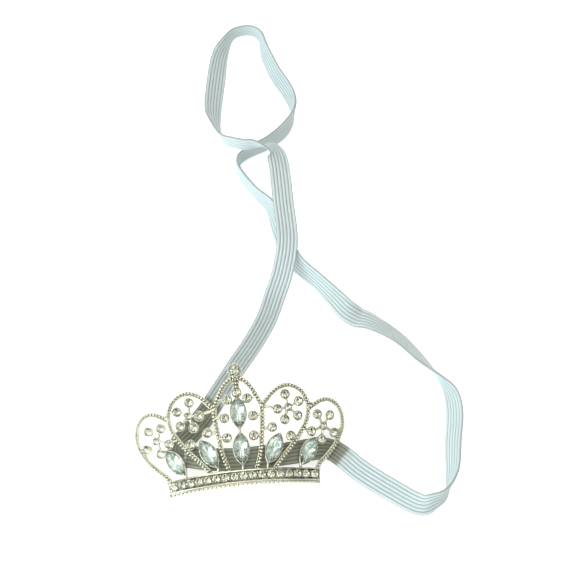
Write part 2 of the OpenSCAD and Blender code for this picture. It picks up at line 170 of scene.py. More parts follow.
def middle_of_part():
    """Shift from the crown's own place to that of the part, read from a stone's box."""
    stone = MARQUISES[0]
    here = laid((0, stone[1][1] * CROWN_H / 100, MARQUISE_SEAT))
    there = box_mid(stone[0])
    return np.array([here[0] - there[0], here[1] - there[1], 0.0])


MIDDLE = middle_of_part()


def place(p):
    return laid(p) - MIDDLE


def unit(v):
    v = np.asarray(v, float)
    return v / np.linalg.norm(v)


def percent(p, side=1):
    return np.array([side * p[0] * HALF_W / 100, p[1] * CROWN_H / 100, 0.0])


class Seat:
    """A place on the crown with its own directions: side, up and out."""

    def __init__(self, p, turn=0.0):
        p = np.asarray(p, float)
        self.o = place(p)
        out = unit(place(p + [0, 0, 1]) - self.o)
        up = unit(place(p + [0, 1, 0]) - self.o)
        side = np.cross(up, out)
        c, s = math.cos(math.radians(turn)), math.sin(math.radians(turn))
        self.x = side * c + up * s
        self.y = up * c - side * s
        self.z = out

    def at(self, p):
        return self.o + self.x * p[0] + self.y * p[1] + self.z * p[2]


def bend(a, b, c, d, t):
    """Smooth curve through points: place at share t between b and c."""
    a, b, c, d = (np.asarray(v, float) for v in (a, b, c, d))
    return 0.5 * (
        2 * b + (c - a) * t + (2 * a - 5 * b + 4 * c - d) * t * t
        + (3 * b - a - 3 * c + d) * t ** 3
    )


def spine_of(path, per=24):
    """Many points along a path through places on the crown."""
    n = len(path)
    out = []
    for i in range(n - 1):
        for k in range(per):
            out.append(bend(path[max(i - 1, 0)], path[i], path[i + 1], path[min(i + 2, n - 1)], k / per))
    out.append(np.asarray(path[-1], float))
    return out


def spaced(path, pitch):
    """Places on the crown at even true distances along a path, about pitch apart."""
    fine = spine_of(path)
    real = [place(p) for p in fine]
    steps = [np.linalg.norm(b - a) for a, b in zip(real, real[1:])]
    far = np.concatenate([[0], np.cumsum(steps)])
    count = max(2, int(round(far[-1] / pitch)))
    out = []
    for k in range(count + 1):
        s = far[-1] * k / count
        i = min(int(np.searchsorted(far, s, side="right")) - 1, len(fine) - 2)
        t = (s - far[i]) / max(far[i + 1] - far[i], 1e-9)
        out.append(fine[i] * (1 - t) + fine[i + 1] * t)
    return out


def along(path, i):
    """Directions at point i of a path on the crown: along it, to its side and outward."""
    ahead = place(path[min(i + 1, len(path) - 1)]) - place(path[max(i - 1, 0)])
    t = unit(ahead)
    side = unit(np.cross(Seat(path[i]).z, t))
    return t, side, np.cross(t, side)


# Mesh building, in millimetres

class Shape:
    def __init__(self):
        self.verts, self.faces, self.smooth, self.slots = [], [], [], []

    def add(self, verts, faces, smooth, slots):
        """Faces that share verts, with a material slot for each face."""
        base = len(self.verts)
        self.verts += [tuple(v) for v in verts]
        self.faces += [[base + i for i in f] for f in faces]
        self.smooth += [smooth] * len(faces)
        self.slots += slots

    def join(self, other):
        base = len(self.verts)
        self.verts += other.verts
        self.faces += [[base + i for i in f] for f in other.faces]
        self.smooth += other.smooth
        self.slots += other.slots

    def rings(self, rings, closed=False, smooth=True, slot=0):
        """Skin over rings of equal count. An open row of rings gets an end face at both ends."""
        n, count = len(rings[0]), len(rings)
        faces = []
        for i in range(count if closed else count - 1):
            a, b = i * n, ((i + 1) % count) * n
            for k in range(n):
                m = (k + 1) % n
                faces.append([a + k, a + m, b + m, b + k])
        if not closed:
            faces.append(list(range(n))[::-1])
            faces.append([(count - 1) * n + k for k in range(n)])
        self.add([v for r in rings for v in r], faces, smooth, [slot] * len(faces))

    def ball(self, o, axes, radii, around=10, up=6):
        """Ellipsoid with the given axes."""
        verts = [o + axes[2] * radii[2]]
        for j in range(1, up):
            a = math.pi * j / up
            for k in range(around):
                b = 2 * math.pi * k / around
                verts.append(
                    o + axes[0] * radii[0] * math.sin(a) * math.cos(b)
                    + axes[1] * radii[1] * math.sin(a) * math.sin(b)
                    + axes[2] * radii[2] * math.cos(a)
                )
        verts.append(o - axes[2] * radii[2])
        last = len(verts) - 1
        faces = [[0, 1 + k, 1 + (k + 1) % around] for k in range(around)]
        for j in range(up - 2):
            a, b = 1 + j * around, 1 + (j + 1) * around
            faces += [[a + k, b + k, b + (k + 1) % around, a + (k + 1) % around] for k in range(around)]
        a = 1 + (up - 2) * around
        faces += [[last, a + (k + 1) % around, a + k] for k in range(around)]
        self.add(verts, faces, True, [0] * len(faces))

    def tube(self, centres, sides, ups, radii, around):
        """Tube through centres. radii holds the half sizes to the side and upward at each."""
        turns = [2 * math.pi * k / around for k in range(around)]
        self.rings([
            [o + side * rx * math.cos(a) + up * ry * math.sin(a) for a in turns]
            for o, side, up, (rx, ry) in zip(centres, sides, ups, radii)
        ])

    def wire(self, path, rx, ry, off_side=0.0, off_out=0.0, around=8, step=0.8):
        """Round or oval wire along a path on the crown, moved off it sideways or outward."""
        pts = spaced(path, step)
        centres, sides, ups = [], [], []
        for i, p in enumerate(pts):
            _, side, up = along(pts, i)
            centres.append(place(p) + side * off_side + up * off_out)
            sides.append(side)
            ups.append(up)
        self.tube(centres, sides, ups, [(rx, ry)] * len(pts), around)

    def beads(self, path, r, pitch, off_side=0.0, off_out=0.0, squash=1.0):
        """Row of beads along a path on the crown. squash shortens them along it."""
        pts = spaced(path, pitch)
        for i, p in enumerate(pts):
            t, side, up = along(pts, i)
            self.ball(place(p) + side * off_side + up * off_out, (t, side, up), (r * squash, r, r))

    def bar(self, a, b, r, around=8):
        """Straight round bar between two points, with rounded ends."""
        a, b = np.asarray(a, float), np.asarray(b, float)
        t = unit(b - a)
        side = unit(np.cross(t, [0.3, 0.2, 1.0]))
        up = np.cross(t, side)
        ends = [(-0.9, 0.3), (-0.6, 0.75), (0, 1)]
        centres = [a + t * r * e for e, _ in ends] + [b - t * r * e for e, _ in ends[::-1]]
        radii = [(r * s, r * s) for _, s in ends + ends[::-1]]
        self.tube(centres, [side] * len(centres), [up] * len(centres), radii, around)

    def lathe(self, seat, profile, around=20):
        """Closed profile [radius, height] turned about a seat's out axis."""
        turns = [2 * math.pi * k / around for k in range(around)]
        self.rings([
            [seat.at((r * math.cos(a), r * math.sin(a), z)) for r, z in profile] for a in turns
        ], True)

    def build(self, name, materials, uv=None):
        mesh = bpy.data.meshes.new(name)
        mesh.from_pydata([(v[0] / 1000, v[1] / 1000, v[2] / 1000) for v in self.verts], [], self.faces)
        for m in materials:
            mesh.materials.append(m)
        mesh.polygons.foreach_set("use_smooth", self.smooth)
        mesh.polygons.foreach_set("material_index", self.slots)
        if uv is not None:
            layer = mesh.uv_layers.new(name="UVMap")
            index = np.zeros(len(mesh.loops), dtype=int)
            mesh.loops.foreach_get("vertex_index", index)
            layer.data.foreach_set("uv", np.asarray(uv, float)[index].ravel())
        mesh.update()
        obj = bpy.data.objects.new(name, mesh)
        bpy.context.scene.collection.objects.link(obj)
        return obj


def dress(obj, node):
    """Puts a visible piece in the place of a node of the part."""
    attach(obj, "root")
    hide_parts(node)


# Material nodes

def node_material(name):
    mat = bpy.data.materials.new(name)
    mat.use_nodes = True
    tree = mat.node_tree
    return mat, tree, tree.nodes["Principled BSDF"]


def noise(tree, scale, detail):
    coord = tree.nodes.new("ShaderNodeTexCoord")
    node = tree.nodes.new("ShaderNodeTexNoise")
    node.inputs["Scale"].default_value = scale
    node.inputs["Detail"].default_value = detail
    tree.links.new(coord.outputs["Object"], node.inputs["Vector"])
    return node.outputs["Fac"]


def spread(tree, source, start, end, low=0.0, high=1.0, soft=False):
    """Maps start to end onto low to high, in a line or softly."""
    node = tree.nodes.new("ShaderNodeMapRange")
    if soft:
        node.interpolation_type = "SMOOTHSTEP"
    for name, value in zip(("From Min", "From Max", "To Min", "To Max"), (start, end, low, high)):
        node.inputs[name].default_value = value
    tree.links.new(source, node.inputs["Value"])
    return node.outputs["Result"]


def maths(tree, operation, *sources):
    node = tree.nodes.new("ShaderNodeMath")
    node.operation = operation
    for socket, source in zip(node.inputs, sources):
        if isinstance(source, (int, float)):
            socket.default_value = source
        else:
            tree.links.new(source, socket)
    return node.outputs["Value"]


def mix(tree, share, a, b, blend="MIX"):
    """Mixes two colours, each three numbers or an output. The share is one number or an output."""
    node = tree.nodes.new("ShaderNodeMix")
    node.data_type = "RGBA"
    node.blend_type = blend
    if isinstance(share, float):
        node.inputs[0].default_value = share
    else:
        tree.links.new(share, node.inputs[0])
    for socket, colour in ((node.inputs[6], a), (node.inputs[7], b)):
        if isinstance(colour, tuple):
            socket.default_value = (*colour, 1)
        else:
            tree.links.new(colour, socket)
    return node.outputs[2]


def bump(tree, shader, height, strength, distance):
    node = tree.nodes.new("ShaderNodeBump")
    node.inputs["Strength"].default_value = strength
    node.inputs["Distance"].default_value = distance
    tree.links.new(height, node.inputs["Height"])
    tree.links.new(node.outputs["Normal"], shader.inputs["Normal"])


def openness(tree, reach, low, high):
    """1 in the open, falling to 0 in recesses narrower than reach."""
    node = tree.nodes.new("ShaderNodeAmbientOcclusion")
    node.samples = 4
    node.inputs["Distance"].default_value = reach
    return spread(tree, node.outputs["AO"], low, high)


# Materials

def silver_material(name, dark):
    """Bright metal of varied tone, with painted shade of the given colour in its recesses."""
    mat, tree, shader = node_material(name)
    shader.inputs["Metallic"].default_value = 1.0
    bright = mix(tree, noise(tree, 420.0, 4.0), (0.62, 0.605, 0.45), (0.90, 0.88, 0.75))
    # Painted shade: ambient occlusion mixes the dark colour into recesses
    colour = mix(tree, openness(tree, 0.0007, 0.42, 0.86), dark, bright)
    tree.links.new(colour, shader.inputs["Base Color"])
    grain = spread(tree, noise(tree, 1500.0, 3.0), 0.0, 1.0, 0.12, 0.30)
    tree.links.new(grain, shader.inputs["Roughness"])
    bump(tree, shader, noise(tree, 1100.0, 3.0), 0.5, 0.00010)
    return mat


def glass_material(name, low, high, ior, rough):
    mat, tree, shader = node_material(name)
    shader.inputs["Transmission Weight"].default_value = 1.0
    shader.inputs["IOR"].default_value = ior
    tree.links.new(mix(tree, noise(tree, 420.0, 2.0), low, high), shader.inputs["Base Color"])
    grain = spread(tree, noise(tree, 1800.0, 2.0), 0.0, 1.0, rough, rough + 0.02)
    tree.links.new(grain, shader.inputs["Roughness"])
    return mat


def foil_material(name, low, high, rough):
    mat, tree, shader = node_material(name)
    shader.inputs["Metallic"].default_value = 1.0
    tree.links.new(mix(tree, noise(tree, 600.0, 3.0), low, high), shader.inputs["Base Color"])
    grain = spread(tree, noise(tree, 2500.0, 2.0), 0.0, 1.0, rough, rough + 0.1)
    tree.links.new(grain, shader.inputs["Roughness"])
    return mat


def elastic_material(shade_end, shade_start):
    """Ribbed white elastic. The run along the band tells the stretch in the crown's shade."""
    mat, tree, shader = node_material("white_elastic")
    uv = tree.nodes.new("ShaderNodeUVMap")
    uv.uv_map = "UVMap"
    # Fine wraps of thread that run slantwise round each rib
    wraps = tree.nodes.new("ShaderNodeTexWave")
    wraps.wave_type = "BANDS"
    wraps.bands_direction = "DIAGONAL"
    wraps.inputs["Scale"].default_value = 0.9
    wraps.inputs["Distortion"].default_value = 0.6
    wraps.inputs["Detail"].default_value = 1.0
    tree.links.new(uv.outputs["UV"], wraps.inputs["Vector"])
    patches = maths(tree, "MULTIPLY_ADD", noise(tree, 1400.0, 3.0), 0.35, noise(tree, 60.0, 3.0))
    threads = mix(tree, spread(tree, patches, 0.0, 1.0), (0.54, 0.625, 0.65), (0.62, 0.70, 0.72))
    # The second coordinate counts ribs, so it is 0 in a groove and 0.5 on a crest once folded
    parts = tree.nodes.new("ShaderNodeSeparateXYZ")
    tree.links.new(uv.outputs["UV"], parts.inputs["Vector"])
    run, ribs = parts.outputs["X"], parts.outputs["Y"]
    crest = spread(tree, maths(tree, "PINGPONG", ribs, 0.5), 0.08, 0.24, soft=True)
    # Painted shade in the grooves: they take a darker colour than the crests
    open_colour = mix(tree, crest, (0.36, 0.41, 0.41), threads)
    # Painted shadow of the crown on the stretch of band beneath it
    fade = 1.5
    light = maths(
        tree, "MULTIPLY",
        spread(tree, run, shade_end, shade_end + fade, soft=True),
        spread(tree, run, shade_start, shade_start - fade, soft=True),
    )
    crown_shadow_tint = mix(tree, light, (0.46, 0.43, 0.33), (1.0, 1.0, 1.0))
    tree.links.new(mix(tree, 1.0, open_colour, crown_shadow_tint, "MULTIPLY"), shader.inputs["Base Color"])
    shader.inputs["Roughness"].default_value = 0.62
    shader.inputs["Sheen Weight"].default_value = 0.15
    shader.inputs["Sheen Roughness"].default_value = 0.5
    bump(tree, shader, wraps.outputs["Fac"], 0.35, 0.00008)
    return mat


# Stones

# Facets round a stone, and those of its lower half whose foil gets a dark colour as painted dark
# reflections: at the point, below the girdle
FOLD = 8
PAINTED_DARK_KITES, PAINTED_DARK_OUTER = (1,), (0, 5)
# Size of the flat top facet as a share of the outline
ROUND_TABLE, MARQUISE_TABLE = 0.56, 0.6
# Height over and under the girdle: shares of the diameter, and millimetres for the marquise stones
ROUND_RISE, ROUND_DEPTH = 0.2, 0.42
MARQUISE_RISE, MARQUISE_DEPTH = 1.05, 1.15
# Break points of the facets, over and under the girdle: share of the outline and of the height
UPPER_BREAK, LOWER_BREAK = (0.80, 0.52), (0.42, 0.66)
GIRDLE_TOP, GIRDLE_FOOT = 0.02, -0.04


def cut_stone(seat, edge, rise, depth, table):
    """Brilliant cut over any outline: edge(angle) gives the girdle. Slots: glass, foil, and foil in a dark
    colour for painted dark reflections.
    """
    verts = []

    def level(share, shift, z, count=FOLD):
        for k in range(count):
            x, y = edge((k + shift) * 2 * math.pi / count)
            verts.append((x * share, y * share, z))

    level(table, 0.5, rise)
    level(UPPER_BREAK[0], 0.0, UPPER_BREAK[1] * rise)
    level(1.0, 0.0, GIRDLE_TOP, 2 * FOLD)
    level(1.0, 0.0, GIRDLE_FOOT, 2 * FOLD)
    level(LOWER_BREAK[0], 0.0, -LOWER_BREAK[1] * depth)
    verts.append((0, 0, -depth))
    n = FOLD
    # First vertex of each level, from the table through the break points and girdle to the tip
    top, mid, upper, lower, deep, tip = 0, n, 2 * n, 4 * n, 6 * n, 7 * n
    glass = [[top + k for k in range(n)]]
    foil, foil_slots = [], []
    for k in range(n):
        j = (k + 1) % n
        odd, even = (2 * k + 1) % (2 * n), (2 * k + 2) % (2 * n)
        # Break point k lies between table points k - 1 and k
        glass += [
            [mid + k, top + k, top + (k - 1) % n],
            [top + k, mid + k, upper + odd, mid + j],
            [mid + k, upper + 2 * k, upper + odd],
            [mid + j, upper + odd, upper + even],
        ]
        foil += [
            [tip, deep + j, lower + odd, deep + k],
            [deep + k, lower + odd, lower + 2 * k],
            [deep + j, lower + even, lower + odd],
        ]
        # Slot 2 is the foil with painted dark reflections
        kite, outer = (2 if k in dark_facets else 1 for dark_facets in (PAINTED_DARK_KITES, PAINTED_DARK_OUTER))
        foil_slots += [kite, outer, outer]
    for k in range(2 * n):
        j = (k + 1) % (2 * n)
        glass.append([upper + k, lower + k, lower + j, upper + j])
    shape = Shape()
    shape.add([seat.at(v) for v in verts], glass + foil, False, [0] * len(glass) + foil_slots)
    return shape


def round_stone(seat, d):
    def edge(a):
        return d / 2 * math.cos(a), d / 2 * math.sin(a)

    return cut_stone(seat, edge, ROUND_RISE * d, ROUND_DEPTH * d, ROUND_TABLE)


def almond_edge(length, width):
    r = (length * length + width * width) / (4 * width)

    def edge(a):
        y = length / 2 * math.sin(a)
        x = math.sqrt(r * r - y * y) - (r - width / 2)
        return (math.copysign(x, math.cos(a)) if abs(math.cos(a)) > 1e-9 else 0.0, y)

    return edge


def round_stone_rows():
    """Rows of [name, place, diameter, far end of stem]."""
    rows = [
        ("peak_stone", percent((0, 100)), PEAK_D, percent((0, 78))),
        ("centre_top_stone", percent((0, 77.5)), ROUND_D, percent((0, 90))),
    ]
    for word, sign in (("right", 1), ("left", -1)):
        for name, at, stem in SIDE_STONES:
            rows.append((f"{name}_{word}", percent(at, sign), ROUND_D, percent(stem, sign)))
        for name, heart, petals in FLOWERS:
            h = percent(heart, sign)
            rows.append((f"{name}_{word}_heart", h, HEART_D, None))
            for k, (angle, reach) in enumerate(petals):
                a = math.radians(angle)
                at = h + np.array([sign * math.cos(a), math.sin(a), 0]) * reach / 100 * CROWN_H
                rows.append((f"{name}_{word}_petal_{k + 1}", at, ROUND_D, h))
    return rows


ROUND_STONES = round_stone_rows()
BASE_END = 0.7
BASE_PITCH = 2 * (BASE_HALF - BASE_END - BASE_STONE_D / 2) / (BASE_STONES - 1)
BASE_PLACES = [
    np.array([(i - (BASE_STONES - 1) / 2) * BASE_PITCH, -BASE_H / 2, 0.0]) for i in range(BASE_STONES)
]


def build_stones():
    """All stones. Each is turned a little further than the last, so that they sparkle apart."""
    clear = [
        glass_material("clear_stone", (0.95, 0.97, 0.93), (1.0, 1.0, 0.98), 1.55, 0.0),
        foil_material("clear_stone_foil", (0.80, 0.81, 0.72), (0.97, 0.97, 0.91), 0.05),
        # Near-black foil: painted dark reflections on some facets
        foil_material("clear_stone_painted_dark", (0.06, 0.06, 0.035), (0.17, 0.16, 0.11), 0.12),
    ]
    ice = [
        glass_material("ice_stone", (0.93, 0.99, 0.97), (0.98, 1.0, 0.99), 1.5, 0.01),
        foil_material("ice_stone_foil", (0.82, 0.91, 0.84), (0.96, 1.0, 0.95), 0.22),
        # Darker foil: painted dark reflections on some facets
        foil_material("ice_stone_painted_dark", (0.28, 0.36, 0.32), (0.44, 0.52, 0.46), 0.3),
    ]
    for i, (name, at, d, _) in enumerate(ROUND_STONES):
        stone = round_stone(Seat(at + [0, 0, ROUND_SEAT], (i * 37) % 45), d)
        dress(stone.build(name + "_cut", clear), name)
    for name, at, lean in MARQUISES:
        seat = Seat(percent(at) + [0, 0, MARQUISE_SEAT], -lean)
        edge = almond_edge(MARQUISE_L, MARQUISE_W)
        stone = cut_stone(seat, edge, MARQUISE_RISE, MARQUISE_DEPTH, MARQUISE_TABLE)
        dress(stone.build(name + "_cut", ice), name)
    row = Shape()
    for i, at in enumerate(BASE_PLACES):
        row.join(round_stone(Seat(at + [0, 0, ROUND_SEAT], (i * 29) % 45), BASE_STONE_D))
    dress(row.build("base_stones_cut", clear), "base_stones")


# Crown frame: all its pieces go into one shape, in millimetres

metal = Shape()
# Half thickness of wires and bars. Where there are two, to the side and outward
ARCH_WIRE, LINER_WIRE = (0.5, 0.5), (0.2, 0.36)
COLUMN_WIRE, EDGE_WIRE = (0.85, 0.5), (0.28, 0.45)
STEM_R, PRONG_R, BASE_PRONG_R, CLAW_R, END_BAR_R = 0.48, 0.2, 0.26, 0.26, 0.3
# Beads: radius and pitch. Those of an arch are a little shorter along it
ARCH_BEAD, LINER_BEAD, EDGE_BEAD = (0.62, 1.06), (0.34, 0.9), (0.56, 1.36)
ARCH_BEAD_SQUASH = 0.8
COLUMN_BEAD = (0.42, 0.5, 0.5)
PEAK_BEAD_R, PEAK_BEADS = 0.36, 16
STONE_GAP, STEM_GAP = 0.06, 0.15
CUP_SHELL = CUP_WALL - 0.12


def beaded_arch(path, inner):
    """Large beads outside, small beads and a thin wire inside. inner is 1 with the inside to the left."""
    metal.wire(path, *ARCH_WIRE, off_out=-0.2, step=0.9)
    metal.wire(path, *LINER_WIRE, off_side=inner * 0.6, off_out=0.05, around=6, step=0.9)
    metal.beads(path, *ARCH_BEAD, off_side=-inner * 0.2, off_out=0.14, squash=ARCH_BEAD_SQUASH)
    metal.beads(path, *LINER_BEAD, off_side=inner * 0.42, off_out=0.22)


def arches():
    left = [percent(p, -1) for p in CENTRE_ARCH]
    right = [percent(p) for p in CENTRE_ARCH[-2::-1]]
    beaded_arch(left + right, -1)
    for sign in (1, -1):
        for arch in (INNER_ARCH, OUTER_ARCH):
            beaded_arch([percent(p, sign) for p in arch], sign)


def peak_column():
    """Stacked rows of small beads between the peak stone and the one below it."""
    for row_up in (83.5, 87.2, 90.9, 94.6):
        for across, out in ((-0.62, 0.2), (0.0, 0.35), (0.62, 0.2)):
            seat = Seat((across, row_up / 100 * CROWN_H, out))
            metal.ball(seat.o, (seat.x, seat.y, seat.z), COLUMN_BEAD)
    metal.wire([percent((0, 82)), percent((0, 95))], *COLUMN_WIRE, off_out=-0.15, around=10)


def channel():
    """Base channel: floor with two rounded lips, closed by a bar at both ends."""
    top = BACK_W + BASE_T
    lip = [
        (0, BACK_W + 0.1), (0, top - 0.35), (-0.05, top - 0.12), (-0.16, top - 0.02), (-0.3, top),
        (-0.42, top - 0.06), (-0.52, top - 0.2), (-LIP_W, top - 0.35), (-LIP_W, CHANNEL_FLOOR),
    ]
    profile = lip + [(-BASE_H - y, z) for y, z in lip[::-1]] + [(-BASE_H + 0.1, BACK_W), (-0.1, BACK_W)]
    steps, edge_steps = 72, 12
    metal.rings([
        [place((BASE_HALF * (2 * i / steps - 1), y, z)) for y, z in profile[::-1]]
        for i in range(steps + 1)
    ], False, False, 1)
    edge_up = -BASE_H - EDGE_DROP * EDGE_D
    edge = [np.array([BASE_HALF * (2 * i / edge_steps - 1), edge_up, 0.0]) for i in range(edge_steps + 1)]
    metal.wire([p + [0, 0.3, 0] for p in edge], *EDGE_WIRE, off_out=0.1, step=1.0)
    metal.beads(edge, *EDGE_BEAD, off_side=-0.08)
    for sign in (1, -1):
        across = sign * (BASE_HALF - 0.2)
        metal.bar(place((across, -LIP_W / 2, 0.2)), place((across, LIP_W / 2 - BASE_H, 0.2)), END_BAR_R)


def base_settings():
    """Rings round the base stones, with pairs of prongs between them."""
    inner, outer = BASE_STONE_D / 2 + 0.03, BASE_STONE_D / 2 + 0.13
    foot, rim = CHANNEL_FLOOR, 0.42
    for at in BASE_PLACES:
        metal.lathe(Seat(at), [(inner, foot), (outer, foot), (outer, rim), (inner, rim)])
    for a, b in zip(BASE_PLACES, BASE_PLACES[1:]):
        for y in (0.78, -0.78):
            seat = Seat((a + b) / 2 + [0, y, 0])
            metal.bar(seat.at((0, 0, -0.6)), seat.at((0, 0, 0.55)), BASE_PRONG_R)


def stem(a, b):
    """Bar between two places on the crown, cut short where an end lies inside a cup."""
    ends = [np.asarray(a, float), np.asarray(b, float)]
    for k in (0, 1):
        way = unit(ends[1 - k] - ends[k])
        for _, at, d, _ in ROUND_STONES:
            off = ends[k] - at
            clear = d / 2 + STEM_GAP
            if np.linalg.norm(off) < clear:
                on_way = off @ way
                miss = math.sqrt(max(0.0, off @ off - on_way * on_way))
                ends[k] = ends[k] + way * (math.sqrt(clear * clear - miss * miss) - on_way)
    metal.bar(place(ends[0]), place(ends[1]), STEM_R)


def cup(seat, d):
    """Cup with four prongs round a stone of diameter d."""
    r = d / 2 + STONE_GAP
    rim = r + CUP_SHELL
    metal.lathe(seat, [
        (0.25 * d, -CUP_BACK), (r + 0.02, 0.1 - CUP_BACK), (rim, 0.1), (rim, 0.38), (rim - 0.08, 0.45),
        (r + 0.02, 0.45), (r, 0.2), (0.55 * r, -0.45), (0.15 * d, -0.6),
    ])
    low, high = r + 0.6 * CUP_SHELL, r + 0.2 * CUP_SHELL
    for c, s in ((1, 0), (0, 1), (-1, 0), (0, -1)):
        metal.bar(seat.at((low * c, low * s, 0.0)), seat.at((high * c, high * s, 0.62)), PRONG_R, 6)


def bead_ring(seat, r):
    """Ring of small beads round the cup of the peak stone."""
    for k in range(PEAK_BEADS):
        a = 2 * math.pi * (k + 0.5) / PEAK_BEADS
        at = seat.at((r * math.cos(a), r * math.sin(a), 0.25))
        metal.ball(at, (seat.x, seat.y, seat.z), (PEAK_BEAD_R, PEAK_BEAD_R, PEAK_BEAD_R), 8, 5)


def cups_and_stems():
    for name, at, d, far in ROUND_STONES:
        seat = Seat(at, 20 if "petal" in name else 45)
        cup(seat, d)
        if name == "peak_stone":
            bead_ring(seat, d / 2 + STONE_GAP + CUP_SHELL + 0.24)
        if far is not None:
            stem(at, far)
    for sign in (1, -1):
        for a, b in TIES:
            stem(percent(a, sign), percent(b, sign))
        for web in WEBS:
            corners = [Seat(percent(c, sign)) for c in web]
            metal.rings([[s.at((0, 0, z * sign)) for s in corners] for z in (-0.3, 0.3)], False, False)


def marquise_setting(seat):
    """Thin wall round a marquise stone with six claws."""
    inner = almond_edge(MARQUISE_L + 0.2, MARQUISE_W + 0.1)
    outer = almond_edge(MARQUISE_L + 1.1, MARQUISE_W + 0.65)
    lower = almond_edge(MARQUISE_L - 2.0, MARQUISE_W - 1.4)
    count = 36
    rings = []
    for k in range(count):
        a = 2 * math.pi * k / count
        (xi, yi), (xo, yo), (xl, yl) = inner(a), outer(a), lower(a)
        rings.append([
            seat.at(v) for v in (
                (xl, yl, -CUP_BACK), (xo * 0.97, yo * 0.97, -CUP_BACK + 0.15), (xo, yo, 0.45),
                ((xo + xi) / 2, (yo + yi) / 2, 0.55), (xi, yi, 0.5), (xi, yi, 0.1),
                (xl * 0.9, yl * 0.9, -0.5),
            )
        ])
    metal.rings(rings, True)
    claw_edge = almond_edge(MARQUISE_L + 0.3, MARQUISE_W + 0.35)
    for angle, lap in ((90, 0.9), (270, 0.9), (35, 0.86), (145, 0.86), (215, 0.86), (325, 0.86)):
        x, y = claw_edge(math.radians(angle))
        metal.bar(seat.at((x, y, 0.3)), seat.at((x * lap, y * lap, 1.12)), CLAW_R)


def marquise_tip(m, way):
    lean = math.radians(m[2])
    return percent(m[1]) + way * (MARQUISE_L / 2 + CUP_WALL) * np.array([math.sin(lean), math.cos(lean), 0])


def marquise_settings():
    for _, at, lean in MARQUISES:
        marquise_setting(Seat(percent(at), -lean))
    upper, lower = MARQUISES[:2]
    for m in MARQUISES:
        if m is not upper:
            low = marquise_tip(m, -1)
            metal.bar(place(low), place((low[0], 0, 0)), STEM_R)
    metal.bar(place(marquise_tip(lower, 1)), place(marquise_tip(upper, -1)), STEM_R)


def build_frame():
    # Dark colours of the painted shade in recesses, much lighter on the base channel
    silver = silver_material("silver_metal", (0.06, 0.055, 0.025))
    silver_channel = silver_material("silver_channel", (0.30, 0.29, 0.20))
    arches()
    peak_column()
    channel()
    base_settings()
    cups_and_stems()
    marquise_settings()
    dress(metal.build("crown_frame_fine", [silver, silver_channel]), "crown_frame")


# Elastic band

BAND_STEP = 1.0
RIB_W = ELASTIC_W / RIBS
RIB_STEPS = 10
# Width of a rib's dome as a share of the rib, and the rounding of the band's two edges
DOME_SHARE, EDGE_ROUND = 0.8, 0.06


def half_rise(lean):
    a = math.radians(lean)
    return ELASTIC_W / 2 * abs(math.sin(a)) + ELASTIC_T / 2 * abs(math.cos(a))


def behind_row(s):
    """Row of the stretch behind the base, at share s of the way from its middle to an end."""
    end = BEHIND_LEFT if s < 0 else BEHIND_RIGHT
    q = laid((s * end[0], BEHIND_UP + end[1] * s * s, BACK_W - ELASTIC_GAP - ELASTIC_T / 2))
    tilt = math.degrees(FLARE + TIP)
    return [q[0], q[1], q[2] - half_rise(tilt), 180 + tilt]


def band_route():
    """Middles and leans of the band in fine steps, and the step at which each row starts."""
    rows = [behind_row(s) for s in BEHIND_SHARES] + [
        [x * REACH_X / 100, y * REACH_Y / 100, h * ELASTIC_W / 100, lean] for (x, y), h, lean in ROUTE
    ]
    mids, leans, starts = [], [], []
    for i in range(len(rows)):
        starts.append(len(mids))
        a, b, c, d = (rows[(i + k) % len(rows)] for k in (-1, 0, 1, 2))
        n = max(2, int(math.ceil(math.hypot(c[0] - b[0], c[1] - b[1]) / BAND_STEP)))
        for k in range(n):
            x, y, z, lean = bend(a, b, c, d, k / n)
            mids.append(np.array([x, y, max(z, 0) + half_rise(lean)]))
            leans.append(math.radians(lean))
    return mids, leans, starts


def band_section():
    """Rounded ribs on both faces, with narrow grooves between them."""
    face = []
    for k in range(RIBS * RIB_STEPS + 1):
        off = abs(2 * (k % RIB_STEPS) / RIB_STEPS - 1)
        dome = math.sqrt(max(0.0, 1 - (off / DOME_SHARE) ** 2))
        face.append((k * RIB_W / RIB_STEPS - ELASTIC_W / 2, ELASTIC_T / 2 * (0.5 + 0.5 * dome)))
    edge = ELASTIC_W / 2 + EDGE_ROUND
    return [(-edge, 0.0)] + face + [(edge, 0.0)] + [(x, -y) for x, y in face[::-1]]


def build_elastic():
    mids, leans, starts = band_route()
    section = band_section()
    count = len(mids)
    rings, uv, runs, run = [], [], [], 0.0
    for i in range(count):
        t = unit(mids[(i + 1) % count] - mids[i - 1])
        side = unit([-t[1], t[0], 0])
        rise = np.cross(t, side)
        c, s = math.cos(leans[i]), math.sin(leans[i])
        across, thick = side * c + rise * s, rise * c - side * s
        rings.append([mids[i] - MIDDLE + across * x + thick * y for x, y in section])
        uv += [(run, (x + ELASTIC_W / 2) / RIB_W) for x, _ in section]
        runs.append(run)
        run += np.linalg.norm(mids[(i + 1) % count] - mids[i])

    def run_at(row, share):
        first = len(BEHIND_SHARES) + row
        return runs[starts[first]] * (1 - share) + runs[starts[first + 1]] * share

    band = Shape()
    band.rings(rings, True)
    material = elastic_material(run_at(*SHADE_END), run_at(*SHADE_START))
    dress(band.build("elastic_band_ribbed", [material], uv), "elastic_band")


# Floor, light and camera, in metres

# Checks of the light tent round the horizon and upward: how many, and their shift in radians
TENT_ROUND, TENT_UP = (5.0, 0.6), (11.0, 0.9)
TENT_DARK, TENT_BRIGHT = 0.05, 2.6
# Dimmer round patch: its direction, the angles of its rim and core, and its strength
PATCH_WAY, PATCH_RIM, PATCH_CORE, PATCH_DIM = (-0.04, -0.405, 0.913), 12, 8, 0.3


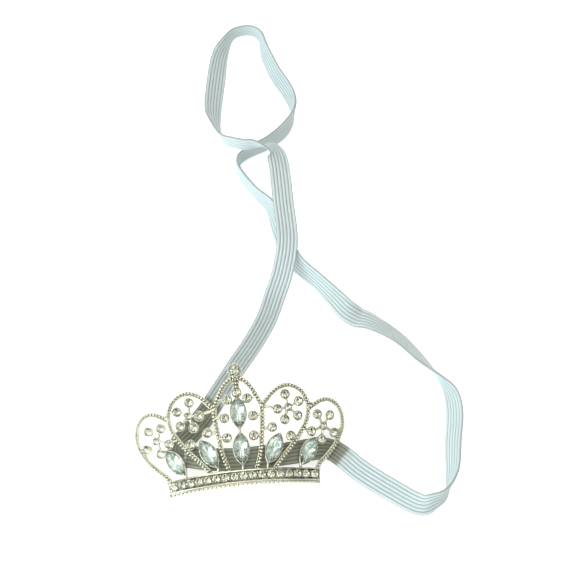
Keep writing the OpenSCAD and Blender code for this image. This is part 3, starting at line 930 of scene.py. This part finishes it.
def lay_floor():
    mesh = bpy.data.meshes.new("floor")
    half = 3.0
    corners = [(-half, -half, 0), (half, -half, 0), (half, half, 0), (-half, half, 0)]
    mesh.from_pydata(corners, [], [[0, 1, 2, 3]])
    floor = bpy.data.objects.new("floor", mesh)
    bpy.context.scene.collection.objects.link(floor)
    mat, tree, shader = node_material("floor")
    tone = mix(tree, noise(tree, 4.0, 2.0), (0.80, 0.80, 0.80), (0.82, 0.82, 0.82))
    tree.links.new(tone, shader.inputs["Base Color"])
    shader.inputs["Roughness"].default_value = 0.9
    shader.inputs["Emission Color"].default_value = (1, 1, 1, 1)
    shader.inputs["Emission Strength"].default_value = 0.5
    mesh.materials.append(mat)


def light_tent():
    """Checkered light all round, so that metal and facets show light and dark side by side."""
    world = bpy.data.worlds.new("studio")
    bpy.context.scene.world = world
    world.use_nodes = True
    tree = world.node_tree
    where = tree.nodes.new("ShaderNodeTexCoord").outputs["Generated"]
    parts = tree.nodes.new("ShaderNodeSeparateXYZ")
    tree.links.new(where, parts.inputs["Vector"])
    east, north, up = (parts.outputs[k] for k in "XYZ")
    turn = maths(tree, "ARCTAN2", north, east)
    around = maths(tree, "SINE", maths(tree, "MULTIPLY_ADD", turn, *TENT_ROUND))
    level = maths(tree, "SINE", maths(tree, "MULTIPLY_ADD", up, *TENT_UP))
    checks = spread(tree, maths(tree, "MULTIPLY", around, level), -0.12, 0.12, soft=True)
    lit = spread(tree, checks, 0.0, 1.0, TENT_DARK, TENT_BRIGHT, soft=True)
    # Less light from low down and from the east and west
    low = spread(tree, up, 0.0, 0.3, 0.25, 1.0, soft=True)
    west_side = spread(tree, east, -0.7, -0.3, 0.45, 1.0, soft=True)
    east_side = spread(tree, east, 0.2, 0.6, 1.0, 0.4, soft=True)
    shade = maths(tree, "MULTIPLY", low, maths(tree, "MULTIPLY", west_side, east_side))
    toward = tree.nodes.new("ShaderNodeVectorMath")
    toward.operation = "DOT_PRODUCT"
    toward.inputs[1].default_value = PATCH_WAY
    tree.links.new(where, toward.inputs[0])
    rim, core = (math.cos(math.radians(a)) for a in (PATCH_RIM, PATCH_CORE))
    patch = spread(tree, toward.outputs["Value"], rim, core, 1.0, PATCH_DIM, soft=True)
    background = tree.nodes["Background"]
    strength = maths(tree, "MULTIPLY", maths(tree, "MULTIPLY", lit, shade), patch)
    tree.links.new(strength, background.inputs["Strength"])
    background.inputs["Color"].default_value = (1.0, 1.0, 0.95, 1)


def aimed(name, data, at, way):
    """Adds a light or camera at a place, looking along way."""
    obj = bpy.data.objects.new(name, data)
    obj.location = at
    obj.rotation_mode = "QUATERNION"
    obj.rotation_quaternion = way.to_track_quat("-Z", "Y")
    bpy.context.scene.collection.objects.link(obj)
    return obj


def area(name, at, size, power, colour):
    """Square light that faces the middle of the part."""
    light = bpy.data.lights.new(name, "AREA")
    light.shape = "SQUARE"
    light.size = size
    light.energy = power
    light.color = colour
    aimed(name, light, at, -Vector(at))


def set_camera():
    camera = bpy.data.cameras.new("camera")
    camera.sensor_width = 36.0
    camera.lens = CAMERA_LENS
    camera.clip_start, camera.clip_end = 0.01, 10
    back = Vector((
        math.sin(CAMERA_AZIMUTH) * math.cos(CAMERA_ELEVATION),
        -math.cos(CAMERA_AZIMUTH) * math.cos(CAMERA_ELEVATION),
        math.sin(CAMERA_ELEVATION),
    ))
    aim = Vector((np.array([*CAMERA_AIM, -DROP]) - MIDDLE) * 0.001)
    bpy.context.scene.camera = aimed("camera", camera, aim + back * CAMERA_DISTANCE, -back)


build_stones()
build_frame()
build_elastic()
lay_floor()
light_tent()
area("key", (-0.70, -0.31, 0.27), 0.5, 4.0, (0.74, 0.93, 1.0))
area("top", (-0.2, 0.2, 0.9), 0.5, 0.9, (1.0, 1.0, 0.97))
set_camera()
bpy.context.scene.view_settings.view_transform = "Standard"
